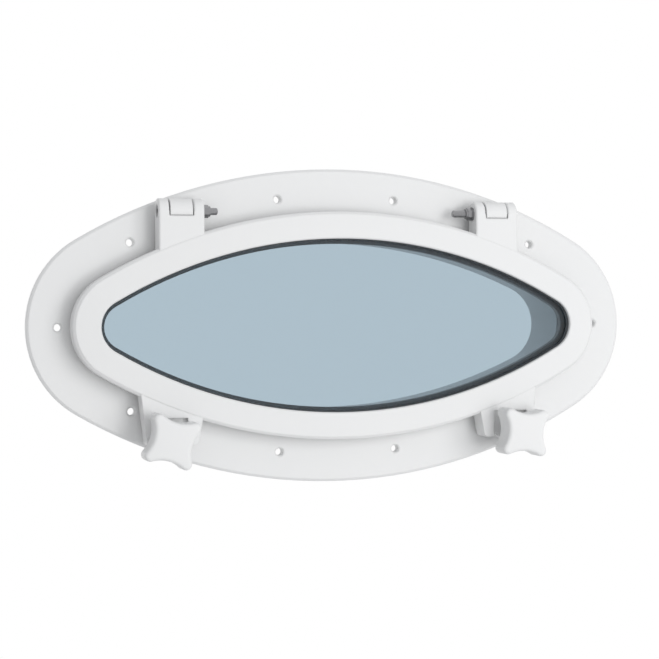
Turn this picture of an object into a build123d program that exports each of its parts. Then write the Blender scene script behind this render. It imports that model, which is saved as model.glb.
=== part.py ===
"""Oval opening portlight: a screw flange with a tunnel, and a hinged lid that carries a tinted pane.

The model is built lying on its back: x to the right, y up the wall, z out of the wall towards the cabin,
with z = 0 at the back of the flange. It is stood up at the end, so that +Z is up and the cabin is at -Y.
"""
import os
from math import hypot, sqrt

from build123d import *

# Window opening in the lid, an oval of two end arcs and two long arcs
window_half_length = 175.4
window_half_height = 62.5
window_end_radius = 19.7

# Lid ring
ring_width = 19.6
ring_front_wall = 4.3
ring_skirt_wall = 3.6
ring_lip_chamfer = 0.8
ring_edge_chamfer = 2.0
ring_front_fall = 1.7

# Pane and the U-shaped seal round its edge
pane_thickness = 5.0
seal_wall = 1.5
seal_bead_width = 1.0
seal_bead_height = 1.6
seal_back_margin = 1.0
seal_clearance = 0.1

# Retaining ring behind the pane, its screws and the posts that take them
retainer_thickness = 5.0
retainer_inward = 3.3
retainer_clearance = 0.3
retainer_recess = 0.6
screw_count = 8
screw_radius = 1.5
screw_head_radius = 2.6
screw_head_height = 1.7
screw_length = 10.0
screw_clearance = 0.05
screw_hole_clearance = 0.15
post_radius = 3.6
post_root = 0.1
post_seal_gap = 0.3
post_hole_extra = 1.0

# Main gasket in a groove of the retaining ring
gasket_width = 4.8
gasket_groove_wall = 0.65
gasket_groove_depth = 1.4
gasket_side_clearance = 0.1
gasket_proud = 2.4
gasket_nose_chamfer = 1.2
gasket_touch_gap = 0.2

# Base: flange, sealing land and tunnel
flange_end_margin = 30.0
flange_side_margin = 31.9
flange_end_radius = 72.0
flange_thickness = 7.0
flange_edge_chamfer = 1.8
land_height = 2.0
land_reach = 13.0
land_edge_chamfer = 0.8
tunnel_end_step = 2.9
tunnel_side_step = 0.5
tunnel_end_radius = 30.0
tunnel_wall = 3.5
tunnel_depth = 40.0
tunnel_edge_chamfer = 1.0

# Flange screw holes: the pairs on one oval inside the flange's edge, the end ones a little further in
hole_inset = 19.8
end_hole_inset = 22.0
hole_radius = 2.6
countersink_radius = 3.7
middle_hole_x = 44.1
outer_hole_x = 151.8

# Hinges
hinge_from_window_end = 57.2
hinge_below_rim = 0.6
strap_width = 32.4
strap_front_wall = 4.5
strap_below_ring_front = 0.2
ear_width = 7.4
knuckle_radius = 9.0
knuckle_side_gap = 0.8
knuckle_round_gap = 0.5
knuckle_stem_rise = 4.5
ear_edge_chamfer = 0.8
bolt_radius = 2.5
bolt_clearance = 0.05
bolt_head_radius = 4.5
bolt_head_height = 3.0
bolt_socket_radius = 1.9
bolt_socket_depth = 1.8
counterbore_depth = 3.4
counterbore_clearance = 0.3
bolt_overhang_left = 5.4
bolt_overhang_right = 10.0
bolt_end_chamfer = 0.6
hinge_washer_radius = 5.0
hinge_washer_thickness = 1.0
nut_across_flats = 8.0
nut_thickness = 4.6
nut_collar_height = 1.2
nut_collar_radius = 3.7

# Latches: a forked ear on the lid and a captive star knob in it
latch_from_window_end = 45.2
latch_above_rim = 3.2
fork_inner_gap = 15.2
fork_outer_gap = 10.4
fork_inner_width = 13.0
fork_inner_taper = 5.5
fork_outer_width = 8.2
fork_outer_taper = 5.0
fork_reach = 4.3
fork_inner_corner_radius = 3.0
fork_outer_corner_radius = 1.5
fork_floor_root = 1.0
fork_web_reach = 14.9
ear_floor_depth = 4.0
ear_floor_thickness = 4.0
ear_floor_radius = 10.2
knob_standoff = 7.0
knob_closed_gap = 0.5
knob_thickness = 19.0
knob_tip_radius = 4.0
knob_tip_reach = 22.2
knob_side_radius = 23.0
knob_front_chamfer = 1.4
knob_back_chamfer = 0.8
knob_neck_radius = 9.0
knob_turn_left = -15.0
knob_turn_right = -4.5
stud_radius = 3.95
stud_clearance = 0.35
stud_grip = 12.0
stud_fit = 0.05
stud_tip_gap = 0.3
stud_tip_chamfer = 0.8
knob_washer_radius = 8.4
knob_washer_thickness = 1.5
washer_landing = 0.2
clip_radius = 7.0
clip_thickness = 1.0
clip_gap = 0.1
clip_groove_depth = 0.55
clip_mouth = 5.6
boss_radius = 8.0
boss_height = 3.5
insert_radius = 5.0
insert_wall = 0.95
insert_length = 9.0
insert_fit = 0.05

# Levels up from the back of the flange
flange_front = flange_thickness
land_top = flange_front + land_height
retainer_back = land_top + gasket_touch_gap + gasket_proud
retainer_front = retainer_back + retainer_thickness
pane_back = retainer_front + seal_wall
pane_front = pane_back + pane_thickness
ledge = pane_front + seal_wall
ring_front = ledge + ring_front_wall
rim_front = ring_front - ring_front_fall
lid_back = retainer_back - retainer_recess
strap_front = rim_front - strap_below_ring_front
knuckle_z = strap_front - knuckle_radius
floor_front = strap_front - ear_floor_depth
floor_back = floor_front - ear_floor_thickness
knob_back = strap_front + knob_closed_gap + knob_standoff
knob_front = knob_back + knob_thickness
washer_back = floor_front + washer_landing + knob_standoff
neck_end = washer_back + knob_washer_thickness
boss_top = flange_front + boss_height
stud_tip = boss_top + stud_tip_gap
clip_front = floor_back - clip_gap

# Distances out from the window's edge, from the skirt inwards
screw_line = ring_width - ring_skirt_wall + post_root - post_radius
seal_outer = screw_line - post_radius - post_seal_gap
pane_overlap = seal_outer - seal_wall - seal_clearance
groove_outer = screw_line - screw_head_radius - screw_hole_clearance - gasket_groove_wall
gasket_line = groove_outer - gasket_side_clearance - gasket_width / 2

# Places along and up the wall
hinge_x = window_half_length - hinge_from_window_end
latch_x = window_half_length - latch_from_window_end
rim_half_height = window_half_height + ring_width
hinge_y = rim_half_height - hinge_below_rim
latch_y = -(rim_half_height - latch_above_rim)


def window_offset(distance):
    """Half length, half height and end radius of the window oval, moved outwards by a distance."""
    return window_half_length + distance, window_half_height + distance, window_end_radius + distance


flange_oval = (
    window_half_length + ring_width + flange_end_margin,
    window_half_height + ring_width + flange_side_margin,
    flange_end_radius,
)
tunnel_oval = (
    window_half_length - tunnel_end_step,
    window_half_height - tunnel_side_step,
    tunnel_end_radius,
)


def grown(oval, distance):
    """The same oval moved outwards by a distance."""
    return tuple(size + distance for size in oval)


def long_arc(oval):
    """Radius of an oval's long arcs and the height of the upper one's centre."""
    length, height, end = oval
    radius = ((length - end) ** 2 + height**2 - end**2) / (2 * (height - end))
    return radius, height - radius


def oval_y(oval, x):
    """Height of an oval's upper long arc at x."""
    radius, centre = long_arc(oval)
    return centre + sqrt(radius**2 - x**2)


def oval_wire(oval):
    """Closed path round an oval, clockwise from its upper left tangent point."""
    length, height, end = oval
    radius, centre = long_arc(oval)
    reach = radius - end
    tx = length - end + end * (length - end) / reach
    ty = -end * centre / reach
    top = ThreePointArc((-tx, ty), (0, height), (tx, ty))
    right = ThreePointArc((tx, ty), (length, 0), (tx, -ty))
    bottom = ThreePointArc((tx, -ty), (0, -height), (-tx, -ty))
    left = ThreePointArc((-tx, -ty), (-length, 0), (-tx, ty))
    return Wire([top, right, bottom, left])


def slab(oval, low, high):
    """A flat oval plate between two levels."""
    return Pos(0, 0, low) * extrude(make_face(oval_wire(oval)), high - low)


def moulding(profile):
    """Carry a profile round the window oval: its x is the distance outwards, its y is the level."""
    path = oval_wire(window_offset(0))
    along = path % 0
    plane = Plane(origin=path @ 0, x_dir=Vector(0, 0, 1).cross(along), z_dir=along)
    return sweep(plane * profile, path=path)


def outline(*points):
    """A closed flat shape through the points."""
    return make_face(Polyline(*points, close=True))


def corner(shape, x, y):
    """The corner of a flat shape that lies nearest to a point."""
    return min(shape.vertices(), key=lambda v: hypot(v.X - x, v.Y - y))


def box(low, high):
    """A box between two corners."""
    size = [b - a for a, b in zip(low, high)]
    middle = [(a + b) / 2 for a, b in zip(low, high)]
    return Pos(*middle) * Box(*size)


def rod(x, y, low, high, radius):
    """A round bar along z between two levels."""
    return Pos(x, y, (low + high) / 2) * Cylinder(radius, high - low)


def cross_rod(side, low, high, radius):
    """A round bar along the hinge axis, between two distances from the middle of the object."""
    middle = side * (low + high) / 2
    return Pos(middle, hinge_y, knuckle_z) * Rot(0, 90, 0) * Cylinder(radius, high - low)


def sideways(shape, x, width):
    """Extrude a shape drawn as (y, z) along x, by a width to the right of x."""
    plane = Plane(origin=(x, 0, 0), x_dir=(0, 1, 0), z_dir=(1, 0, 0))
    return extrude(plane * shape, width)


def screw_points():
    """Places of the retaining ring's screws, evenly spaced along their oval on both sides of its top."""
    oval = window_offset(screw_line)
    line = oval_wire(oval)
    top = line.param_at_point((0, oval[1], 0))
    return [line @ ((top + (i + 0.5) / screw_count) % 1) for i in range(screw_count)]


def flange_holes():
    """Centres of the ten flange holes."""
    oval = grown(flange_oval, -hole_inset)
    points = [(side * (flange_oval[0] - end_hole_inset), 0) for side in (-1, 1)]
    for x in (middle_hole_x, outer_hole_x):
        y = oval_y(oval, x)
        points += [(sx * x, sy * y) for sx in (-1, 1) for sy in (-1, 1)]
    return points


def base_frame():
    """Flange, sealing land, tunnel, hinge knuckles and latch bosses in one moulding."""
    plate = slab(flange_oval, 0, flange_thickness)
    body = chamfer(plate.faces().sort_by(Axis.Z)[-1].edges(), flange_edge_chamfer)
    land = slab(window_offset(land_reach), 0, land_top)
    body += chamfer(land.faces().sort_by(Axis.Z)[-1].edges(), land_edge_chamfer)
    spigot = slab(grown(tunnel_oval, tunnel_wall), -tunnel_depth, flange_thickness / 2)
    body += chamfer(spigot.faces().sort_by(Axis.Z)[0].edges(), tunnel_edge_chamfer)
    body -= slab(tunnel_oval, -tunnel_depth - 1, land_top + 1)
    for side in (-1, 1):
        body += middle_knuckle(side)
        body += rod(side * latch_x, latch_y, flange_thickness / 2, boss_top, boss_radius)
        body -= rod(side * latch_x, latch_y, boss_top - insert_length - insert_fit, boss_top + 1,
                    insert_radius + insert_fit)
    for x, y in flange_holes():
        body -= rod(x, y, -1, flange_front + 1, hole_radius)
        depth = countersink_radius - hole_radius
        cone = Cone(hole_radius, countersink_radius, depth)
        body -= Pos(x, y, flange_front - depth / 2) * cone
    return body


def middle_knuckle(side):
    """The base's hinge knuckle on its stem, between the lid's two ears."""
    half = strap_width / 2 - ear_width - knuckle_side_gap
    circle = Pos(hinge_y, knuckle_z) * Circle(knuckle_radius)
    foot = flange_thickness / 2
    stem = outline(
        (hinge_y - knuckle_radius, foot),
        (hinge_y + knuckle_stem_rise, foot),
        (hinge_y + knuckle_stem_rise, knuckle_z),
        (hinge_y - knuckle_radius, knuckle_z),
    )
    lug = sideways(circle + stem, side * hinge_x - half, 2 * half)
    return lug - cross_rod(side, hinge_x - half - 1, hinge_x + half + 1, bolt_radius + bolt_clearance)


def pocket():
    """The space behind the lid ring's front wall, inside its skirt."""
    return slab(window_offset(ring_width - ring_skirt_wall), lid_back - 1, ledge)


def hinge_strap(side):
    """Strap from the lid ring to the hinge: a front wall and two ears."""
    left = side * hinge_x - strap_width / 2
    outer_x = hinge_x + strap_width / 2
    start = oval_y(window_offset(ring_width / 2), outer_x)
    web = outline((start, lid_back), (hinge_y, lid_back), (hinge_y, strap_front), (start, strap_front))
    ear = web + Pos(hinge_y, knuckle_z) * Circle(knuckle_radius)
    body = []
    for x in (left, left + strap_width - ear_width):
        cheek = sideways(ear, x, ear_width)
        rims = [e for e in cheek.edges() if e.geom_type == GeomType.CIRCLE]
        body.append(chamfer(rims, ear_edge_chamfer))
    front = box((left + 1, start, strap_front - strap_front_wall),
                (left + strap_width - 1, hinge_y, strap_front))
    gap = knuckle_radius + knuckle_round_gap
    front -= cross_rod(side, hinge_x - strap_width / 2 + ear_width, outer_x - ear_width, gap)
    strap = body[0] + body[1] + front
    strap -= cross_rod(side, 0, outer_x + 1, bolt_radius + bolt_clearance)
    strap -= cross_rod(side, outer_x - counterbore_depth, outer_x + 1,
                       bolt_head_radius + counterbore_clearance)
    return strap


def latch_ear(side):
    """Forked ear at the foot of the lid: two cheeks, a web and a floor that the stud passes through."""
    bottom = latch_y - fork_reach
    inner = latch_x - fork_inner_gap
    outer = latch_x + fork_outer_gap
    top_in = -oval_y(window_offset(ring_width / 2), inner)
    top_out = -oval_y(window_offset(ring_width / 2), outer)
    inner_foot = inner - fork_inner_width + fork_inner_taper
    outer_foot = outer + fork_outer_width - fork_outer_taper
    inner_cheek = outline((inner, top_in), (inner, bottom), (inner_foot, bottom),
                          (inner - fork_inner_width, top_in))
    outer_cheek = outline((outer, top_out), (outer, bottom), (outer_foot, bottom),
                          (outer + fork_outer_width, top_out))
    inner_cheek = fillet(corner(inner_cheek, inner_foot, bottom), fork_inner_corner_radius)
    outer_cheek = fillet(corner(outer_cheek, outer_foot, bottom), fork_outer_corner_radius)
    root = outline((inner - fork_floor_root, top_in), (outer + fork_floor_root, top_out),
                   (outer + fork_floor_root, latch_y), (inner - fork_floor_root, latch_y))
    floor = make_hull(root.edges() + (Pos(latch_x, latch_y) * Circle(ear_floor_radius)).edges())
    web = outline((inner - fork_floor_root, top_in), (outer + fork_floor_root, top_out),
                  (outer + fork_floor_root, latch_y + fork_web_reach),
                  (inner - fork_floor_root, latch_y + fork_web_reach))
    ear = Pos(0, 0, lid_back) * extrude(inner_cheek + outer_cheek, strap_front - lid_back)
    ear += Pos(0, 0, floor_back) * extrude(floor, ear_floor_thickness)
    ear += Pos(0, 0, floor_back) * extrude(web, strap_front - floor_back)
    ear -= rod(latch_x, latch_y, floor_back - 1, floor_front + 1, stud_radius + stud_clearance)
    return ear if side > 0 else mirror(ear, about=Plane.YZ)


def lid_frame():
    """Ring with a front wall and a skirt, screw posts, hinge straps and latch ears in one moulding."""
    inner = ring_width - ring_skirt_wall
    section = outline((0, ledge), (0, ring_front), (ring_width, rim_front), (ring_width, lid_back),
                      (inner, lid_back), (inner, ledge))
    section = chamfer(corner(section, 0, ring_front), ring_lip_chamfer)
    section = chamfer(corner(section, ring_width, rim_front), ring_edge_chamfer)
    body = moulding(section)
    for point in screw_points():
        body += rod(point.X, point.Y, retainer_front, ledge + ring_front_wall / 2, post_radius)
    kept_free = pocket() + slab(window_offset(ring_width / 2), lid_back - 1, ring_front + 1)
    for side in (-1, 1):
        body += hinge_strap(side) - kept_free
        body += latch_ear(side) - kept_free
    for point in screw_points():
        body -= rod(point.X, point.Y, retainer_front - 1,
                    retainer_back + screw_length + post_hole_extra, screw_radius + screw_clearance)
    return body


def window_pane():
    """Tinted pane, larger than the opening by its hold in the seal."""
    return slab(window_offset(pane_overlap), pane_back, pane_front)


def glass_seal():
    """U-shaped rubber round the pane's edge, with a bead that shows inside the lid's lip."""
    edge = pane_overlap + seal_clearance
    bead_top = ledge + seal_bead_height
    return moulding(outline(
        (-seal_bead_width, pane_front), (-seal_bead_width, ledge), (-seal_clearance, bead_top),
        (-seal_clearance, ledge), (seal_outer, ledge), (seal_outer, retainer_front),
        (seal_back_margin, retainer_front), (seal_back_margin, pane_back), (edge, pane_back),
        (edge, pane_front)))


def glass_retaining_ring():
    """Flat ring screwed in behind the pane, with the gasket's groove in its back."""
    outer = ring_width - ring_skirt_wall - retainer_clearance
    half = gasket_width / 2 + gasket_side_clearance
    groove = retainer_back + gasket_groove_depth
    body = moulding(outline(
        (-retainer_inward, retainer_back), (gasket_line - half, retainer_back), (gasket_line - half, groove),
        (gasket_line + half, groove), (gasket_line + half, retainer_back), (outer, retainer_back),
        (outer, retainer_front), (-retainer_inward, retainer_front)))
    for point in screw_points():
        body -= rod(point.X, point.Y, retainer_back - 1, retainer_front + 1,
                    screw_radius + screw_hole_clearance)
        body -= rod(point.X, point.Y, retainer_back - 1, retainer_back + screw_head_height,
                    screw_head_radius + screw_hole_clearance)
    return body


def retaining_ring_screws():
    """The retaining ring's screws as one group, their heads sunk flush in the ring's back."""
    screws = []
    for point in screw_points():
        head = rod(point.X, point.Y, retainer_back, retainer_back + screw_head_height, screw_head_radius)
        shank = rod(point.X, point.Y, retainer_back, retainer_back + screw_length, screw_radius)
        screws.append(head + shank)
    return Compound(screws)


def main_gasket():
    """Rubber gasket that the lid presses on the base's sealing land."""
    half = gasket_width / 2
    nose = retainer_back - gasket_proud
    section = outline(
        (gasket_line - half, nose), (gasket_line + half, nose),
        (gasket_line + half, retainer_back + gasket_groove_depth),
        (gasket_line - half, retainer_back + gasket_groove_depth))
    section = chamfer(corner(section, gasket_line - half, nose), gasket_nose_chamfer)
    section = chamfer(corner(section, gasket_line + half, nose), gasket_nose_chamfer)
    return moulding(section)


def hinge_bolt(side):
    """Socket-head bolt along the hinge axis, its head sunk in the outer ear."""
    overhang = bolt_overhang_left if side < 0 else bolt_overhang_right
    head_face = hinge_x + strap_width / 2 - counterbore_depth
    tip = hinge_x - strap_width / 2 - hinge_washer_thickness - nut_thickness - overhang
    shank = cross_rod(side, tip, head_face, bolt_radius)
    shank = chamfer(end_edges(shank, side, -1), bolt_end_chamfer)
    head = cross_rod(side, head_face, head_face + bolt_head_height, bolt_head_radius)
    head = chamfer(end_edges(head, side, 1), bolt_end_chamfer)
    socket = head_face + bolt_head_height - bolt_socket_depth
    hexagon = RegularPolygon(bolt_socket_radius, 6)
    recess = extrude(Plane.YZ * Pos(hinge_y, knuckle_z) * hexagon, bolt_socket_depth + 1)
    start = socket if side > 0 else -socket - bolt_socket_depth - 1
    return shank + head - Pos(start, 0, 0) * recess


def end_edges(shape, side, way):
    """Edges of a cross rod's outer (way 1) or inner (way -1) end face."""
    faces = shape.faces().sort_by(Axis.X)
    return (faces[-1] if side * way > 0 else faces[0]).edges()


def hinge_washer(side):
    """Plain washer under the hinge nut."""
    high = hinge_x - strap_width / 2
    low = high - hinge_washer_thickness
    return (cross_rod(side, low, high, hinge_washer_radius)
            - cross_rod(side, low - 1, high + 1, bolt_radius + bolt_clearance))


def hinge_nut(side):
    """Locking nut on the inner end of the hinge bolt: a hexagon with a round collar."""
    high = hinge_x - strap_width / 2 - hinge_washer_thickness
    low = high - nut_thickness
    hexagon = RegularPolygon(nut_across_flats / 2, 6, major_radius=False)
    body = extrude(Plane.YZ * Pos(hinge_y, knuckle_z) * hexagon, nut_thickness - nut_collar_height)
    start = low + nut_collar_height if side > 0 else -high
    nut = Pos(start, 0, 0) * body + cross_rod(side, low, high, nut_collar_radius)
    return nut - cross_rod(side, low - 1, high + 1, bolt_radius + bolt_clearance)


def star():
    """Outline of the star knob: four round tips joined by hollow sides."""
    tip = (knob_tip_reach - knob_tip_radius) / sqrt(2)
    reach = knob_side_radius + knob_tip_radius
    side_centre = tip + sqrt(reach**2 - tip**2)
    waist = side_centre - knob_side_radius
    touch_x = tip + knob_tip_radius * (side_centre - tip) / reach
    touch_y = tip - knob_tip_radius * tip / reach
    corner = knob_tip_reach / sqrt(2)
    edges = []
    for quarter in range(4):
        turn = Rot(0, 0, 90 * quarter)
        hollow = ThreePointArc((touch_x, -touch_y), (waist, 0), (touch_x, touch_y))
        point = ThreePointArc((touch_x, touch_y), (corner, corner), (touch_y, touch_x))
        edges += [turn * hollow, turn * point]
    return make_face(Wire(edges))


def at_latch(shape, side):
    """Put a piece made on the z axis at the left or right latch, turned as its knob is."""
    turn = knob_turn_left if side < 0 else knob_turn_right
    return Pos(side * latch_x, latch_y, 0) * Rot(0, 0, turn) * shape


def knob(side):
    """Star knob with a flat front and a round neck, moulded round the stud."""
    body = Pos(0, 0, knob_back) * extrude(star(), knob_thickness)
    body = chamfer(body.faces().sort_by(Axis.Z)[0].edges(), knob_back_chamfer)
    body = chamfer(body.faces().sort_by(Axis.Z)[-1].edges(), knob_front_chamfer)
    body += rod(0, 0, neck_end, knob_back + 1, knob_neck_radius)
    body -= rod(0, 0, neck_end - 1, knob_back + stud_grip + stud_fit, stud_radius + stud_fit)
    return at_latch(body, side)


def knob_stud(side):
    """Stud fixed in the knob, with a groove for the clip that keeps it in the lid."""
    body = rod(0, 0, stud_tip, knob_back + stud_grip, stud_radius)
    body = chamfer(body.faces().sort_by(Axis.Z)[0].edges(), stud_tip_chamfer)
    groove = rod(0, 0, clip_front - clip_thickness, clip_front, stud_radius + 1)
    groove -= rod(0, 0, clip_front - clip_thickness, clip_front, stud_radius - clip_groove_depth)
    return at_latch(body - groove, side)


def knob_washer(side):
    """Washer between the knob's neck and the ear's floor."""
    body = rod(0, 0, washer_back, neck_end, knob_washer_radius)
    return at_latch(body - rod(0, 0, washer_back - 1, neck_end + 1, stud_radius + stud_clearance), side)


def stud_clip(side):
    """Open retaining clip in the stud's groove, behind the ear's floor."""
    low = clip_front - clip_thickness
    hold = stud_radius - clip_groove_depth + stud_fit
    body = rod(0, 0, low, clip_front, clip_radius) - rod(0, 0, low - 1, clip_front + 1, hold)
    body -= box((0, -clip_mouth / 2, low - 1), (clip_radius + 1, clip_mouth / 2, clip_front + 1))
    return at_latch(body, side)


def threaded_insert(side):
    """Brass insert in the base's boss."""
    low = boss_top - insert_length
    body = rod(0, 0, low, boss_top, insert_radius)
    return at_latch(body - rod(0, 0, low - 1, boss_top + 1, insert_radius - insert_wall), side)


pieces = {
    "base_frame": base_frame(),
    "lid_frame": lid_frame(),
    "window_pane": window_pane(),
    "glass_seal": glass_seal(),
    "glass_retaining_ring": glass_retaining_ring(),
    "retaining_ring_screws": retaining_ring_screws(),
    "main_gasket": main_gasket(),
}
for name, side in (("left", -1), ("right", 1)):
    pieces[f"hinge_bolt_{name}"] = hinge_bolt(side)
    pieces[f"hinge_washer_{name}"] = hinge_washer(side)
    pieces[f"hinge_nut_{name}"] = hinge_nut(side)
    pieces[f"knob_{name}"] = knob(side)
    pieces[f"knob_stud_{name}"] = knob_stud(side)
    pieces[f"knob_washer_{name}"] = knob_washer(side)
    pieces[f"stud_clip_{name}"] = stud_clip(side)
    pieces[f"threaded_insert_{name}"] = threaded_insert(side)

os.makedirs("parts", exist_ok=True)
for name, piece in pieces.items():
    export_step(Rot(90, 0, 0) * piece, f"parts/{name}.step")
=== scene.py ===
"""Finish of an oval opening portlight: white mouldings, a tinted pane, seals and fasteners."""
from math import pi, radians, sqrt

import bmesh
import bpy
import numpy as np
from mathutils import Matrix, Vector


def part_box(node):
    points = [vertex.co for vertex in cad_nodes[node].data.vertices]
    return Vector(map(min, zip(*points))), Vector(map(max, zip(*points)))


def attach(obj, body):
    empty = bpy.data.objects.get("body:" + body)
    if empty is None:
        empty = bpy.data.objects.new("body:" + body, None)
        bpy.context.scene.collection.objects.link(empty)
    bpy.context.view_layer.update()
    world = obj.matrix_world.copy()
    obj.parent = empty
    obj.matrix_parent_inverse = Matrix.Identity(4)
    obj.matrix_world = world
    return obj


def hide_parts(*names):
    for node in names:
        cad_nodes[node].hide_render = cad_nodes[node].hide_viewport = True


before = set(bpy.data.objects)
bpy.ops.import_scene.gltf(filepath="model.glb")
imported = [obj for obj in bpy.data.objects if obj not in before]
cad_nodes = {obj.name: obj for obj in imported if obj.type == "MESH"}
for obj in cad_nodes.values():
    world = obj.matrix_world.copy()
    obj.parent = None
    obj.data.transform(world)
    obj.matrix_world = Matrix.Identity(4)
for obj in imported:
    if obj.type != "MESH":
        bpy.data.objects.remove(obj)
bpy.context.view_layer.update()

# Flange with its tunnel, and the hinged lid ring: two white injection mouldings of one
# UV-stable plastic. Their faces come from a polished mould with a faint ripple, and every
# edge is softened by about a millimetre.
def moulded_plastic(name, colour, shade, roughness, edge_radius, ripple):
    """Plastic from a polished mould.

    The colour drifts between two close tones, the gloss varies a little with a fine noise,
    and the surface normal is rounded at edges and then rippled by the same noise.
    """
    finish = bpy.data.materials.new(name)
    finish.use_nodes = True
    nodes = finish.node_tree.nodes
    links = finish.node_tree.links
    shader = nodes["Principled BSDF"]
    shader.inputs["IOR"].default_value = 1.5
    place = nodes.new("ShaderNodeTexCoord")
    drift = nodes.new("ShaderNodeTexNoise")
    drift.inputs["Scale"].default_value = 9
    drift.inputs["Detail"].default_value = 2
    tones = nodes.new("ShaderNodeMix")
    tones.data_type = "RGBA"
    tones.inputs["A"].default_value = (*colour, 1)
    tones.inputs["B"].default_value = (*shade, 1)
    fine = nodes.new("ShaderNodeTexNoise")
    fine.inputs["Scale"].default_value = 420
    fine.inputs["Detail"].default_value = 3
    gloss = nodes.new("ShaderNodeMapRange")
    gloss.inputs["To Min"].default_value = roughness - 0.05
    gloss.inputs["To Max"].default_value = roughness + 0.05
    soft_edge = nodes.new("ShaderNodeBevel")
    soft_edge.samples = 6
    soft_edge.inputs["Radius"].default_value = edge_radius
    bump = nodes.new("ShaderNodeBump")
    bump.inputs["Strength"].default_value = ripple
    bump.inputs["Distance"].default_value = 0.0002
    links.new(place.outputs["Object"], drift.inputs["Vector"])
    links.new(place.outputs["Object"], fine.inputs["Vector"])
    links.new(drift.outputs["Fac"], tones.inputs["Factor"])
    links.new(tones.outputs["Result"], shader.inputs["Base Color"])
    links.new(fine.outputs["Fac"], gloss.inputs["Value"])
    links.new(gloss.outputs["Result"], shader.inputs["Roughness"])
    links.new(fine.outputs["Fac"], bump.inputs["Height"])
    links.new(soft_edge.outputs["Normal"], bump.inputs["Normal"])
    links.new(bump.outputs["Normal"], shader.inputs["Normal"])
    return finish


def finish_node(name, finish):
    """Give a CAD node its material."""
    mesh = cad_nodes[name].data
    mesh.materials.clear()
    mesh.materials.append(finish)


white_plastic = moulded_plastic("white_plastic", (0.80, 0.80, 0.795), (0.775, 0.78, 0.78),
                                roughness=0.34, edge_radius=0.0012, ripple=0.08)
finish_node("base_frame", white_plastic)
finish_node("lid_frame", white_plastic)

# Star knobs: four-lobed white handwheels, moulded solid round their studs. The front is
# slightly crowned and its rim is well rounded, so that a wet hand can turn it.
knob_tip_radius = 0.0040
knob_tip_reach = 0.0222
knob_hollow_radius = 0.0230
knob_rim_radius = 0.0026
knob_back_radius = 0.0010
knob_crown = 0.0010
knob_neck_radius = 0.0090
knob_neck_length = 0.0028
knob_neck_edge = 0.0003
knob_neck_overlap = 0.0005
knob_turns = {"left": radians(-15.0), "right": radians(-4.5)}


def star_outline():
    """Points and outward normals round the knob.

    Each quarter is a hollow arc, seen from a centre outside the knob, and then a tip arc
    about a centre on the diagonal. The two are tangent where sin(b) = tip / (sum of radii).
    """
    tip = (knob_tip_reach - knob_tip_radius) / sqrt(2)
    reach = knob_hollow_radius + knob_tip_radius
    b = np.arcsin(tip / reach)
    outside = tip + sqrt(reach**2 - tip**2)
    hollow_steps, tip_steps = 22, 26
    swing = np.linspace(-b, b, hollow_steps, endpoint=False)
    round_tip = np.linspace(-b, pi / 2 + b, tip_steps, endpoint=False)
    hollow_way = np.stack([np.cos(swing), -np.sin(swing)], 1)
    hollow = np.array([outside, 0]) - knob_hollow_radius * hollow_way
    tip_way = np.stack([np.cos(round_tip), np.sin(round_tip)], 1)
    lobe = tip + knob_tip_radius * tip_way
    quarter = np.concatenate([hollow, lobe])
    way = np.concatenate([hollow_way, tip_way])
    turns = np.arange(4) * pi / 2
    spin = np.stack([np.cos(turns), -np.sin(turns), np.sin(turns), np.cos(turns)], 1).reshape(4, 2, 2)
    points = np.einsum("kij,nj->kni", spin, quarter).reshape(-1, 2)
    normals = np.einsum("kij,nj->kni", spin, way).reshape(-1, 2)
    return points, normals


def skin(name, grid, finish, body, sharp=35):
    """Closed surfaces through one grid of points, or several: rows are rings, end rows poles.

    Face (i, j) joins points (i, j), (i, j + 1), (i + 1, j + 1) and (i + 1, j), with j
    counted round the ring.
    """
    index = np.arange(grid.size // 3).reshape(-1, *grid.shape[-3:-1])
    ahead = np.roll(index, -1, axis=2)
    quads = np.stack([index[:, :-1], ahead[:, :-1], ahead[:, 1:], index[:, 1:]], -1).reshape(-1, 4)
    mesh = bpy.data.meshes.new(name)
    mesh.from_pydata(grid.reshape(-1, 3).tolist(), [], quads.tolist())
    form = bmesh.new()
    form.from_mesh(mesh)
    bmesh.ops.remove_doubles(form, verts=form.verts, dist=1e-7)
    bmesh.ops.recalc_face_normals(form, faces=form.faces)
    form.to_mesh(mesh)
    form.free()
    mesh.polygons.foreach_set("use_smooth", np.ones(len(mesh.polygons), bool))
    mesh.set_sharp_from_angle(angle=radians(sharp))
    mesh.materials.append(finish)
    piece = bpy.data.objects.new(name, mesh)
    bpy.context.scene.collection.objects.link(piece)
    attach(piece, body)
    return piece


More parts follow.
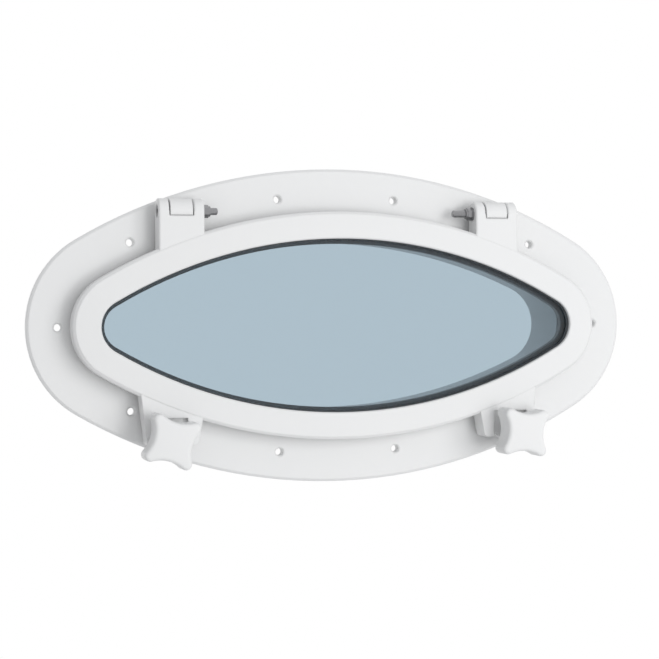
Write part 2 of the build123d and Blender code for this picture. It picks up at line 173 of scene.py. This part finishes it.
def knob_surface(side):
    """Star knob as rows of one outline.

    A row is the outline moved inwards by an inset and then scaled about the axis, set at
    its level. The rows run from the middle of the back out to its edge, up the side, over
    the rounded rim and in over the front, which falls by the crown times
    (distance / reach)^2.
    """
    low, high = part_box(f"knob_{side}")
    centre_x = (low.x + high.x) / 2
    centre_z = (low.z + high.z) / 2
    front, back = -low.y, -high.y + knob_neck_length
    points, normals = star_outline()
    turn = knob_turns[side]
    spin = np.array([[np.cos(turn), -np.sin(turn)], [np.sin(turn), np.cos(turn)]])
    back_rows, bend_rows, front_rows = 2, 7, 11
    back_scale = [0, 0.4]
    bend = np.linspace(0, pi / 2, bend_rows)
    back_inset = knob_back_radius * (1 - np.sin(bend))
    back_level = back + knob_back_radius * (1 - np.cos(bend))
    rim_inset = knob_rim_radius * (1 - np.cos(bend))
    rim_level = front - knob_rim_radius * (1 - np.sin(bend))
    front_scale = np.linspace(1, 0, front_rows + 1)[1:]
    inset = np.concatenate([[knob_back_radius] * back_rows, back_inset, rim_inset,
                            [knob_rim_radius] * front_rows])
    scale = np.concatenate([back_scale, np.ones(2 * bend_rows), front_scale])
    level = np.concatenate([[back] * back_rows, back_level, rim_level, [front] * front_rows])
    fall = np.concatenate([np.zeros(back_rows + bend_rows), np.full(bend_rows + front_rows, knob_crown)])
    flat = scale[:, None, None] * (points[None] - inset[:, None, None] * normals[None])
    share = (flat**2).sum(2) / knob_tip_reach**2
    flat = flat @ spin.T
    grid = np.empty((*flat.shape[:2], 3))
    grid[..., 0] = centre_x + flat[..., 0]
    grid[..., 1] = fall[:, None] * share - level[:, None]
    grid[..., 2] = centre_z + flat[..., 1]
    return grid


def turned(profile, centre, steps=64):
    """Rings about an axis along Y: profile rows are (radius, level towards the cabin)."""
    angle = np.linspace(0, 2 * pi, steps, endpoint=False)
    radius, level = np.array(profile).T
    grid = np.empty((len(radius), steps, 3))
    grid[..., 0] = centre[0] + radius[:, None] * np.cos(angle)
    grid[..., 1] = -level[:, None]
    grid[..., 2] = centre[1] + radius[:, None] * np.sin(angle)
    return grid


for side in ("left", "right"):
    low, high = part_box(f"knob_{side}")
    centre = ((low.x + high.x) / 2, (low.z + high.z) / 2)
    star = skin(f"star_knob_{side}", knob_surface(side), white_plastic, f"{side}_knob")
    neck_end = -high.y
    neck_top = neck_end + knob_neck_length + knob_neck_overlap
    neck = turned([(0, neck_end), (knob_neck_radius - knob_neck_edge, neck_end),
                   (knob_neck_radius, neck_end + knob_neck_edge), (knob_neck_radius, neck_top),
                   (0, neck_top)], centre)
    skin(f"knob_neck_{side}", neck, white_plastic, f"{side}_knob")
    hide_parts(f"knob_{side}")

# Pane: 5 mm cast acrylic with a light blue-grey tint through its whole thickness, polished
# on both faces and held in the rubber.
pane_finish = bpy.data.materials.new("tinted_glass")
pane_finish.use_nodes = True
pane_shader = pane_finish.node_tree.nodes["Principled BSDF"]
pane_shader.inputs["Base Color"].default_value = (0.40, 0.505, 0.577, 1)
pane_shader.inputs["Transmission Weight"].default_value = 1
pane_shader.inputs["Roughness"].default_value = 0.0
pane_shader.inputs["IOR"].default_value = 1.49
finish_node("window_pane", pane_finish)

# Seals: black rubber, one U-shaped strip round the pane and one gasket between the lid and
# the flange. The gasket has a dull skin, and the strip's bead is wiped smooth with the pane;
# the strip is also coloured a lighter grey than the gasket, which is a painted sheen on its bead.
black_rubber = moulded_plastic("black_rubber", (0.018, 0.018, 0.02), (0.026, 0.026, 0.028),
                               roughness=0.62, edge_radius=0.0004, ripple=0.25)
# Smooth bead with a low roughness, coloured lighter grey than the gasket as a painted sheen.
smooth_rubber_painted_sheen = moulded_plastic("black_rubber_smooth_painted_sheen", (0.046, 0.050, 0.055), (0.056, 0.061, 0.066),
                               roughness=0.24, edge_radius=0.0006, ripple=0.05)
finish_node("glass_seal", smooth_rubber_painted_sheen)
finish_node("main_gasket", black_rubber)

# Retaining ring: a flat ring of dark grey plastic that holds the pane from behind. It is
# screwed to the lid's posts, and the gasket sits in a groove of its back.
black_plastic = moulded_plastic("black_plastic", (0.19, 0.195, 0.20), (0.215, 0.22, 0.225),
                                roughness=0.45, edge_radius=0.0004, ripple=0.15)
finish_node("glass_retaining_ring", black_plastic)

# Fasteners: stainless steel hinge bolts, nuts, washers, studs and clips, turned on a lathe,
# so that fine rings run round them.
def turned_metal(name, colour, roughness, grain):
    """Lathe-turned metal: a noise stretched round the work varies its gloss and marks its skin."""
    finish = bpy.data.materials.new(name)
    finish.use_nodes = True
    nodes = finish.node_tree.nodes
    links = finish.node_tree.links
    shader = nodes["Principled BSDF"]
    shader.inputs["Metallic"].default_value = 1
    shader.inputs["Base Color"].default_value = (*colour, 1)
    place = nodes.new("ShaderNodeTexCoord")
    stretch = nodes.new("ShaderNodeMapping")
    stretch.inputs["Scale"].default_value = grain
    rings = nodes.new("ShaderNodeTexNoise")
    rings.inputs["Scale"].default_value = 1
    rings.inputs["Detail"].default_value = 2
    gloss = nodes.new("ShaderNodeMapRange")
    gloss.inputs["To Min"].default_value = roughness - 0.08
    gloss.inputs["To Max"].default_value = roughness + 0.08
    bump = nodes.new("ShaderNodeBump")
    bump.inputs["Strength"].default_value = 0.2
    bump.inputs["Distance"].default_value = 0.0001
    links.new(place.outputs["Object"], stretch.inputs["Vector"])
    links.new(stretch.outputs["Vector"], rings.inputs["Vector"])
    links.new(rings.outputs["Fac"], gloss.inputs["Value"])
    links.new(gloss.outputs["Result"], shader.inputs["Roughness"])
    links.new(rings.outputs["Fac"], bump.inputs["Height"])
    links.new(bump.outputs["Normal"], shader.inputs["Normal"])
    return finish


steel_colour = (0.30, 0.30, 0.31)
hinge_steel = turned_metal("stainless_steel", steel_colour, roughness=0.3, grain=(5000, 60, 60))
latch_steel = turned_metal("stainless_steel_stud", steel_colour, roughness=0.3, grain=(60, 5000, 60))
for side in ("left", "right"):
    for part in ("hinge_bolt", "hinge_washer", "hinge_nut"):
        finish_node(f"{part}_{side}", hinge_steel)
    for part in ("knob_stud", "knob_washer", "stud_clip"):
        finish_node(f"{part}_{side}", latch_steel)


def thread_ridge(start, axis, side_way, radius, length, pitch):
    """Screw thread as one ridge wound on a rod, three points across.

    At a share t of the length the ridge has turned by 2 pi t length / pitch. Its crest
    stands out by the height and its two feet lie 0.6 of a pitch apart just under the skin.
    It grows from nothing, and goes back to it, over a third of a turn at each end.
    """
    steps_per_turn = 20
    height = 0.12 * pitch
    rise = np.array([-0.05, 1, -0.05]) * height
    spread = np.array([-0.3, 0, 0.3]) * pitch
    turns = length / pitch
    t = np.linspace(0, 1, int(turns * steps_per_turn) + 1)
    fade = np.clip(np.minimum(t, 1 - t) * turns * 3, 0, 1)[:, None]
    angle = 2 * pi * turns * t
    axis, side_way = np.array(axis, float), np.array(side_way, float)
    other_way = np.cross(axis, side_way)
    out = np.cos(angle)[:, None] * side_way + np.sin(angle)[:, None] * other_way
    reach = radius + fade * rise
    along = (length * t)[:, None] + fade * spread
    return np.array(start, float) + out[:, None, :] * reach[..., None] + along[..., None] * axis


bolt_radius = 0.0025
bolt_pitch = 0.0008
bolt_tip_gap = 0.0007
stud_radius = 0.00385
stud_pitch = 0.00125
stud_tip_gap = 0.0009
stud_clip_gap = 0.0008
for side, inwards in (("left", 1), ("right", -1)):
    low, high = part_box(f"hinge_bolt_{side}")
    nut_low, nut_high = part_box(f"hinge_nut_{side}")
    middle = ((low.y + high.y) / 2, (low.z + high.z) / 2)
    tip_x = high.x if side == "left" else low.x
    nut_x = nut_high.x if side == "left" else nut_low.x
    bolt_thread = thread_ridge((nut_x, *middle), (inwards, 0, 0), (0, 0, 1), bolt_radius,
                               abs(tip_x - nut_x) - bolt_tip_gap, bolt_pitch)
    skin(f"hinge_bolt_thread_{side}", bolt_thread, hinge_steel, "lid")
    low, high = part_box(f"knob_stud_{side}")
    middle = ((low.x + high.x) / 2, (low.z + high.z) / 2)
    clip_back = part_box(f"stud_clip_{side}")[1].y
    thread_end = high.y - stud_tip_gap
    stud_thread = thread_ridge((middle[0], thread_end, middle[1]), (0, -1, 0), (0, 0, 1), stud_radius,
                               thread_end - clip_back - stud_clip_gap, stud_pitch)
    skin(f"stud_thread_{side}", stud_thread, latch_steel, f"{side}_knob")

# Screws of the retaining ring: stainless pan heads with a cross recess, sunk flush in the
# back of the ring. Each is one turned surface whose face dips into the cross.
screw_head_radius = 0.0026
screw_head_height = 0.0017
screw_head_edge = 0.0002
screw_shank_radius = 0.0015
screw_tip_inset = 0.0003
screw_tip_length = 0.0006
recess_depth = 0.0008
recess_reach = 0.0017
recess_end_slope = 0.0003
recess_half_width = 0.0005
recess_side_slope = 0.0001
screw_split_x = 0.1


def cross_screw(length):
    """Screw along Y, its head towards +Y, with its face at nought.

    Rings run from the tip up the shank, round the head and in over its face. The face dips
    by the recess depth where the nearer of |x| and |z| is under the half width and the
    distance from the middle is under the reach, each eased over its slope.
    """
    ring_points, face_rows = 48, 16
    angle = np.linspace(0, 2 * pi, ring_points, endpoint=False)
    outside = [(0, -length), (screw_shank_radius - screw_tip_inset, -length),
               (screw_shank_radius, screw_tip_length - length), (screw_shank_radius, -screw_head_height),
               (screw_head_radius, -screw_head_height), (screw_head_radius, -screw_head_edge)]
    face_radius = np.linspace(screw_head_radius - screw_head_edge, 0, face_rows)
    face = np.stack([face_radius, np.zeros(face_rows)], 1)
    radius, level = np.concatenate([outside, face]).T
    x = radius[:, None] * np.cos(angle)
    z = radius[:, None] * np.sin(angle)
    arm = np.clip((recess_half_width - np.minimum(abs(x), abs(z))) / recess_side_slope, 0, 1)
    reach = np.clip((recess_reach - np.hypot(x, z)) / recess_end_slope, 0, 1)
    on_face = (np.arange(len(radius)) >= len(outside))[:, None]
    return np.stack([x, level[:, None] - recess_depth * arm * reach * on_face, z], -1)


# The places come from the CAD screws: folded into one quarter, their vertices fall into a
# screw near the ring's end and a screw near its middle.
low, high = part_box("retaining_ring_screws")
cad_screws = cad_nodes["retaining_ring_screws"].data
corners = np.empty(3 * len(cad_screws.vertices))
cad_screws.vertices.foreach_get("co", corners)
corners = abs(corners.reshape(-1, 3))
places = []
for group in (corners[corners[:, 0] > screw_split_x], corners[corners[:, 0] < screw_split_x]):
    middle = (group.min(0) + group.max(0)) / 2
    places += [(sx * middle[0], high.y, sz * middle[2]) for sx in (-1, 1) for sz in (-1, 1)]
screws = np.array(places)[:, None, None] + cross_screw(high.y - low.y)
ring_screws = skin("ring_screws", screws, latch_steel, "lid")
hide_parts("retaining_ring_screws")

# Inserts: brass bushes in the flange's bosses, which the studs screw into. They are turned
# bar, pressed in from the front.
brass = turned_metal("brass", (0.66, 0.48, 0.20), roughness=0.32, grain=(60, 5000, 60))
for side in ("left", "right"):
    finish_node(f"threaded_insert_{side}", brass)

# Studio: a white floor well below the part, a large soft key lamp on the right of the camera,
# a small fill lamp below it, and an even white surround that the camera, gloss and glass see.
def seen_directly(tree):
    """One where a ray comes from the camera, a gloss or the glass, and otherwise nought."""
    path = tree.nodes.new("ShaderNodeLightPath")
    total = path.outputs["Is Camera Ray"]
    for ray in ("Is Glossy Ray", "Is Transmission Ray"):
        either = tree.nodes.new("ShaderNodeMath")
        either.operation = "MAXIMUM"
        tree.links.new(total, either.inputs[0])
        tree.links.new(path.outputs[ray], either.inputs[1])
        total = either.outputs[0]
    return total


surround = bpy.data.worlds.new("surround")
surround.use_nodes = True
bpy.context.scene.world = surround
sky = surround.node_tree
soft_light = sky.nodes["Background"]
soft_light.inputs["Color"].default_value = (0.97, 0.98, 1.0, 1)
soft_light.inputs["Strength"].default_value = 0.63
white_view = sky.nodes.new("ShaderNodeBackground")
white_view.inputs["Color"].default_value = (1, 1, 1, 1)
choice = sky.nodes.new("ShaderNodeMixShader")
sky.links.new(seen_directly(sky), choice.inputs["Fac"])
sky.links.new(soft_light.outputs["Background"], choice.inputs[1])
sky.links.new(white_view.outputs["Background"], choice.inputs[2])
sky.links.new(choice.outputs["Shader"], sky.nodes["World Output"].inputs["Surface"])

floor_level = -0.45
floor_reach = 3.0
floor_mesh = bpy.data.meshes.new("floor")
floor_corners = [(sx * floor_reach, sy * floor_reach, floor_level)
                 for sx, sy in ((-1, -1), (1, -1), (1, 1), (-1, 1))]
floor_mesh.from_pydata(floor_corners, [], [(0, 1, 2, 3)])
floor_finish = bpy.data.materials.new("floor_white")
floor_finish.use_nodes = True
floor_tree = floor_finish.node_tree
floor_shader = floor_tree.nodes["Principled BSDF"]
floor_shader.inputs["Base Color"].default_value = (0.8, 0.8, 0.8, 1)
floor_shader.inputs["Roughness"].default_value = 0.9
floor_glow = floor_tree.nodes.new("ShaderNodeEmission")
floor_glow.inputs["Strength"].default_value = 1.0
floor_choice = floor_tree.nodes.new("ShaderNodeMixShader")
floor_tree.links.new(seen_directly(floor_tree), floor_choice.inputs["Fac"])
floor_tree.links.new(floor_shader.outputs["BSDF"], floor_choice.inputs[1])
floor_tree.links.new(floor_glow.outputs["Emission"], floor_choice.inputs[2])
floor_tree.links.new(floor_choice.outputs["Shader"], floor_tree.nodes["Material Output"].inputs["Surface"])
floor_mesh.materials.append(floor_finish)
floor = bpy.data.objects.new("floor", floor_mesh)
bpy.context.scene.collection.objects.link(floor)

for name, place, size, energy in (("key_lamp", Vector((0.8, -1.75, 0.2)), 1.1, 14.2),
                                  ("fill_lamp", Vector((0.35, -1.5, -0.3)), 0.28, 2.2)):
    light = bpy.data.lights.new(name, "AREA")
    light.size = size
    light.energy = energy
    lamp = bpy.data.objects.new(name, light)
    lamp.location = place
    lamp.rotation_euler = (-place).to_track_quat("-Z", "Y").to_euler()
    lamp.visible_glossy = False
    lamp.visible_transmission = False
    bpy.context.scene.collection.objects.link(lamp)

# Camera: where the photograph was taken from, a little to the left of the middle and 1.2 m
# in front of the flange, with a short telephoto lens.
view = bpy.data.cameras.new("photograph")
view.sensor_width = 36
view.lens = 91.9
camera_place = (-0.3455, -1.1879, 0.0049)
yaw, pitch, roll = radians(16.06), radians(0.37), radians(0.44)
camera = bpy.data.objects.new("photograph", view)
camera.matrix_world = (
    Matrix.Translation(camera_place)
    @ Matrix.Rotation(-yaw, 4, "Z")
    @ Matrix.Rotation(pi / 2 - pitch, 4, "X")
    @ Matrix.Rotation(-roll, 4, "Z")
)
bpy.context.scene.collection.objects.link(camera)
bpy.context.scene.camera = camera
bpy.context.scene.view_settings.view_transform = "Standard"
